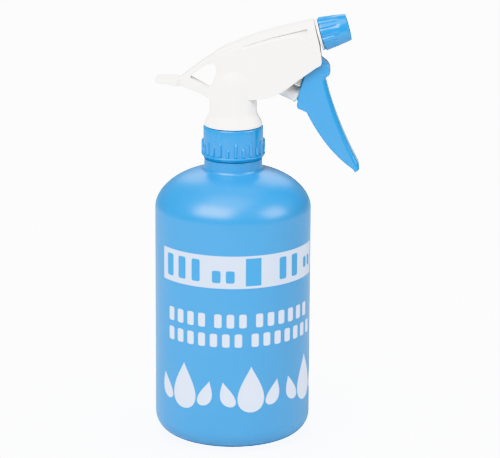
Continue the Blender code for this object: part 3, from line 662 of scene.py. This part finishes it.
def cover_cavity(grid):
    """Room inside the cover, open towards the trigger."""
    x, y, z = grid.x, np.abs(grid.y), grid.z
    outline = [(-5.9, 176.5), (-5.9, 197.0)]
    outline += [(px, pz - HEAD_WALL - 0.3) for px, pz in ROOF if -5 < px < 38]
    outline += [(38.3, 211.3), (41.0, 200.0), (50, 200.0), (50, 168), (13.0, 168), (13.0, 176.5)]
    half = SIDE_HALF - HEAD_WALL
    share = np.clip((y - SPINE_HALF) / (half - SPINE_HALF), 0, 1)
    slope = z - roof_z(x) + HEAD_WALL + 0.3 + 1.8 * share
    rear = 2.9 * share - 5.9 - x
    room = both(side_distance(grid, outline), np.maximum(slope, rear), 0.3)
    return both(room, y - (half - side_pocket(grid, 1.2)), 0.5)


def make_head_cover():
    """White cover: roof, side walls, looped tail, sleeve with its dome and flared skirt."""
    step = 0.3
    grid = Grid(SHROUD_LOW - Vector((1, 1, 1)), SHROUD_HIGH + Vector((1, 1, 1)), step)
    y, z = np.abs(grid.y), grid.z
    shape = either(cover_shell(grid), cover_tail(grid), 1.8)
    around_stem = np.hypot(grid.x, grid.y)
    sleeve = np.hypot(around_stem, np.maximum(z - SLEEVE_DOME_Z, 0)) - SLEEVE_R
    shape = either(shape, sleeve, 0.4)
    flare_z = [159.6, 160.5, 162.0, 163.3, 164.7, 166.0, 167.0]
    flare_r = np.interp(z, flare_z, [14.7, 14.7, 14.1, 13.4, 12.6, 12.1, 11.9])
    skirt = np.maximum((around_stem - flare_r) * 0.88, z - 167)
    shape = either(shape, skirt, 0.3)
    shape = both(shape, SHROUD_LOW.z - z, 0.3)
    window = [(-21.2, 183.7), (-21.2, 184.6), (-14.3, 189.9), (-10.0, 191.2), (-8.5, 188.9)]
    window += [(-8.8, 184.5), (-11.2, 178.7), (-11.9, 178.6)]
    window = np.maximum(side_distance(grid, window), y - 12)
    shape = without(shape, window, 0.5)
    shape = without(shape, cover_cavity(grid), 0.3)
    bore_r = np.interp(z, [150, 160.4, 165.2], [13.4, 13.4, 10.7])
    bore = np.maximum(around_stem - bore_r, z - 177.5)
    shape = without(shape, bore, 0.3)
    along, radius = grid.around(NOZZLE_ORIGIN, NOZZLE_AXIS)
    shape = without(shape, cylinder(along, radius, 5.3, -9, 4), 0.3)
    cover = surface("head_cover", grid, shape, MATS["white"])
    place(cover, "head", "head_white", "shroud")


# ---------------------------------------------------------------- trigger

def make_trigger():
    """Finger lever: faceted knuckle, side cheeks, rounded finger wall, channel open to the rear."""
    step = 0.24
    grid = Grid(TRIGGER_LOW - Vector((1, 1, 1)), TRIGGER_HIGH + Vector((1, 1, 1)), step)
    y = np.abs(grid.y)
    knuckle = [(38.5, 194.0), (41.0, 195.3), (43.3, 194.6), (44.3, 193.5), (46.4, 192.0)]
    knuckle += [(47.7, 190.25), (48.3, 188.5), (48.1, 187.0), (47.4, 185.9), (46.2, 185.1)]
    front = bezier((45.7, 184.9), (48.9, 171.0), (55.1, 155.2), (62.5, 141.6), 24)
    tip = [(63.0, 140.3), (63.3, 138.3), (61.0, 136.9)]
    rear = bezier((59.6, 138.7), (49.4, 145.9), (42.0, 156.2), (36.4, 167.4), 20)
    cheek = [(33.9, 168.5), (32.0, 169.2), (31.5, 170.9), (32.2, 175.2), (33.2, 179.4)]
    cheek += [(34.4, 183.2), (35.4, 187.0), (36.2, 191.0)]
    solid = both(side_distance(grid, knuckle + front + tip + rear + cheek), y - TRIGGER_HALF, 0.5)
    finger_side = knuckle + front + tip[:2] + [(60.0, 120.0), (0.0, 120.0), (0.0, 220.0), (38.5, 220.0)]
    edge_r = np.interp(grid.z, [184.0, 187.0], [2.2, 0.6])
    shape = np.maximum(solid, both(side_distance(grid, finger_side), y - TRIGGER_HALF, edge_r))
    hollow = [(42.1, 205.0), (42.3, 193.2), (43.2, 192.9), (44.2, 192.1), (45.5, 190.8)]
    hollow += [(46.3, 189.5), (46.7, 188.4), (46.5, 187.5), (45.9, 186.8), (44.8, 186.0)]
    hollow += [(px - TRIGGER_WALL - 0.3, pz) for px, pz in front[2:18]]
    hollow += [(51.5, 150.0), (28.0, 150.0), (28.0, 205.0)]
    channel = both(side_distance(grid, hollow), y - (TRIGGER_HALF - TRIGGER_WALL), 0.5)
    shape = without(shape, channel, 0.3)
    around_bar = np.hypot(grid.x - PUSH_BAR[0], grid.z - PUSH_BAR[1])
    push_bar = np.maximum(around_bar - PUSH_BAR_R, y - PUSH_BAR_HALF)
    shape = either(shape, push_bar, 0.3)
    around_pivot = np.hypot(grid.x - PIVOT_X, grid.z - PIVOT_Z)
    socket = np.maximum(around_pivot - SOCKET_R, y - SOCKET_HALF)
    shape = without(shape, socket, 0.1)
    lever = surface("finger_lever", grid, shape, MATS["trim"])
    place(lever, "trigger", "trim_blue", "trigger")


# ---------------------------------------------------------------- nozzle

def cap_side(height):
    """Radius of the cap's convex taper."""
    return CAP_BASE_R - CAP_TAPER * (height / 13.0) ** 1.25


def make_cap():
    """Fluted cap: convex taper, flutes that run out towards the front, dished face with its orifice."""
    corners = [(5.5, 0, 0.2), (6.6, 0, 0.2), (6.6, 6.5, 0.2), (7.1, 6.5, 0.2)]
    corners += [(7.4, 0, 0.2), (8.3, 0, 0.2), (8.5, 0.15, 0), (CAP_BASE_R, 0.5, 0)]
    side = [t * CAP_LENGTH for t in np.linspace(0.06, 0.95, 26)]
    corners += [(cap_side(z - 0.5), z, 0) for z in side]
    corners += [(6.75, CAP_LENGTH, 0.35), (5.5, CAP_LENGTH, 0.3), (4.6, CAP_LENGTH - 0.9, 0.4)]
    corners += [(0.9, CAP_LENGTH - 1.1, 0.2), (0.5, CAP_LENGTH - 1.3, 0.1)]
    corners += [(0.5, 10.9, 0), (5.5, 10.9, 0.3)]

    def fluted(angle, radius, height):
        phase = angle * FLUTES / FULL_TURN
        across = np.abs(phase - np.round(phase)) * 2
        groove = np.clip(1 - (across / 0.55) ** 2, 0, 1) ** 0.7
        fade = np.clip((FLUTE_END - height) / 5.0, 0, 1) ** 0.6
        on_side = (radius > 6.85) & (height > 0.1) & (radius > cap_side(height) - 0.4)
        return radius - np.where(on_side, FLUTE_DEPTH * groove * fade, 0), height

    cap = lathe("spray_cap", rounded(corners, 3), FLUTES * 18, MATS["trim"], fluted)
    aim(cap, NOZZLE_ORIGIN, NOZZLE_AXIS)
    place(cap, "nozzle_cap", "trim_blue", "nozzle_cap")


def make_nozzle_tube():
    """White barrel between the head and the cap."""
    corners = [
        (1.0, -24.2, 0), (3.3, -24.2, 0.3), (3.3, -15.7, 0), (4.2, -15.7, 0.3), (4.2, -3.6, 0.2),
        (4.9, -3.0, 0.2), (4.9, -1.6, 0.2), (8.2, -1.6, 0.3), (8.2, -0.35, 0.3), (4.9, -0.35, 0.1),
        (4.9, 0.6, 0.2), (4.3, 1.2, 0.1), (4.3, 6.0, 0.1), (3.8, 6.4, 0.1),
        (3.8, 10.2, 0.2), (3.0, 10.2, 0.1), (3.0, -4.0, 0), (2.6, -4.0, 0), (2.6, -19.4, 0),
        (1.0, -21.0, 0),
    ]
    tube = lathe("nozzle_tube", rounded(corners, 3), 64, MATS["white"])
    aim(tube, NOZZLE_ORIGIN, NOZZLE_AXIS)
    place(tube, "head", "head_white", "discharge_barrel")


# ---------------------------------------------------------------- piston

def make_piston():
    """Plunger: rimmed flat end, smooth shaft, grooved head."""
    corners = [
        (0, 0, 0), (3.6, 0, 0.3), (4.4, 0.5, 0.2), (4.4, 1.4, 0.2), (4.1, 1.8, 0.2), (4.1, 16.2, 0.2),
        (4.7, 16.6, 0.1), (4.7, 17.4, 0.1), (3.7, 17.4, 0.1), (3.7, 19.6, 0.1), (4.7, 19.6, 0.1),
        (4.7, 20.4, 0.1), (3.7, 20.4, 0.1), (3.7, 22.6, 0.1), (4.7, 22.6, 0.1), (4.7, 23.2, 0.2),
        (3.4, 23.2, 0.2), (3.4, 19.0, 0.2), (0, 19.0, 0),
    ]
    plunger = lathe("plunger", rounded(corners, 3), 72, MATS["white"])
    aim(plunger, PISTON_END, -PUMP_AXIS)
    place(plunger, "piston", "head_white", "piston")


# ---------------------------------------------------------------- stage, light, camera

def make_stage():
    """Plain pale floor that runs up into a backdrop far behind."""
    bm = bmesh.new()
    half, back, rise = 3.0, 2.5, 2.5
    rows = [(-half, 0.0), (back - 1.0, 0.0)]
    rows += [(back - 1.0 + 1.0 * sin(a), 1.0 - 1.0 * cos(a)) for a in np.linspace(0.15, pi / 2, 10)]
    rows += [(back, rise)]
    lines = [[bm.verts.new((sx * half, y, z)) for sx in (-1, 1)] for y, z in rows]
    for one, two in zip(lines, lines[1:]):
        bm.faces.new((one[0], one[1], two[1], two[0]))
    mat = bpy.data.materials.new("backdrop")
    mat.use_nodes = True
    shader = mat.node_tree.nodes["Principled BSDF"]
    shader.inputs["Base Color"].default_value = (0.80, 0.80, 0.80, 1)
    shader.inputs["Roughness"].default_value = 0.9
    shader.inputs["Specular IOR Level"].default_value = 0.1
    shader.inputs["Emission Color"].default_value = (1, 1, 1, 1)
    links = mat.node_tree.links
    seen = mat.node_tree.nodes.new("ShaderNodeLightPath").outputs["Is Camera Ray"]
    glow = mat.node_tree.nodes.new("ShaderNodeMath")
    glow.operation = "MULTIPLY"
    glow.inputs[1].default_value = BACKDROP_GLOW
    links.new(seen, glow.inputs[0])
    links.new(glow.outputs[0], shader.inputs["Emission Strength"])
    finish_mesh("backdrop", bm, mat, 0)


def softbox(name, azimuth, elevation, distance, size, power):
    """A soft rectangular light aimed at the middle of the bottle, placed by direction."""
    a, e = radians(azimuth), radians(elevation)
    target = Vector((0, 0, 0.11))
    back = Vector((sin(a) * cos(e), -cos(a) * cos(e), sin(e)))
    data = bpy.data.lights.new(name, "AREA")
    data.shape = "RECTANGLE"
    data.size, data.size_y = size
    data.energy = power
    lamp = bpy.data.objects.new(name, data)
    lamp.location = target + back * distance
    lamp.rotation_mode = "QUATERNION"
    lamp.rotation_quaternion = (-back).to_track_quat("-Z", "Y")
    bpy.context.collection.objects.link(lamp)


def make_lights():
    """White surroundings, two softboxes to the front, one overhead and one behind."""
    world = bpy.context.scene.world or bpy.data.worlds.new("studio")
    bpy.context.scene.world = world
    world.use_nodes = True
    sky = world.node_tree.nodes["Background"]
    sky.inputs["Color"].default_value = (1, 1, 1, 1)
    sky.inputs["Strength"].default_value = SKY_STRENGTH
    for box in SOFTBOXES:
        softbox(*box)
    bpy.context.scene.view_settings.view_transform = "Khronos PBR Neutral"


def make_camera():
    """Long lens, two degrees round towards the nozzle and a little above the bottle."""
    a, e = radians(CAMERA_AZIMUTH), radians(CAMERA_ELEVATION)
    target = Vector((CAMERA_ASIDE_M * cos(a), CAMERA_ASIDE_M * sin(a), CAMERA_HEIGHT_M))
    back = Vector((sin(a) * cos(e), -cos(a) * cos(e), sin(e)))
    data = bpy.data.cameras.new("camera")
    data.sensor_width = SENSOR_WIDTH
    data.lens = LENS
    data.clip_end = 20.0
    camera = bpy.data.objects.new("camera", data)
    camera.location = target + back * CAMERA_DISTANCE_M
    camera.rotation_mode = "QUATERNION"
    level = (-back).to_track_quat("-Z", "Y")
    camera.rotation_quaternion = level @ Quaternion((0, 0, 1), radians(CAMERA_ROLL))
    bpy.context.collection.objects.link(camera)
    bpy.context.scene.camera = camera


# ---------------------------------------------------------------- build

def dress(node, mat):
    """Give a carried-over CAD node its material."""
    data = frame["nodes"][node].data
    data.materials.clear()
    data.materials.append(mat)
    data.shade_smooth()


def make_all():
    """Camera, lights and stage first, then the new surfaces, then finishes for the hidden parts."""
    make_camera()
    make_lights()
    make_stage()
    make_bottle()
    make_print()
    make_collar()
    make_head_cover()
    make_trigger()
    make_cap()
    make_nozzle_tube()
    make_piston()
    inner = {
        "natural": ("pump_body", "tube_retainer", "dip_tube", "outlet_valve", "swirl_plug"),
        "seal": ("neck_gasket", "vent_seal", "pressure_seal", "nozzle_seal"),
        "steel": ("inlet_ball", "return_spring", "outlet_spring"),
    }
    for finish, nodes in inner.items():
        for node in nodes:
            dress(node, MATS[finish])


make_all()
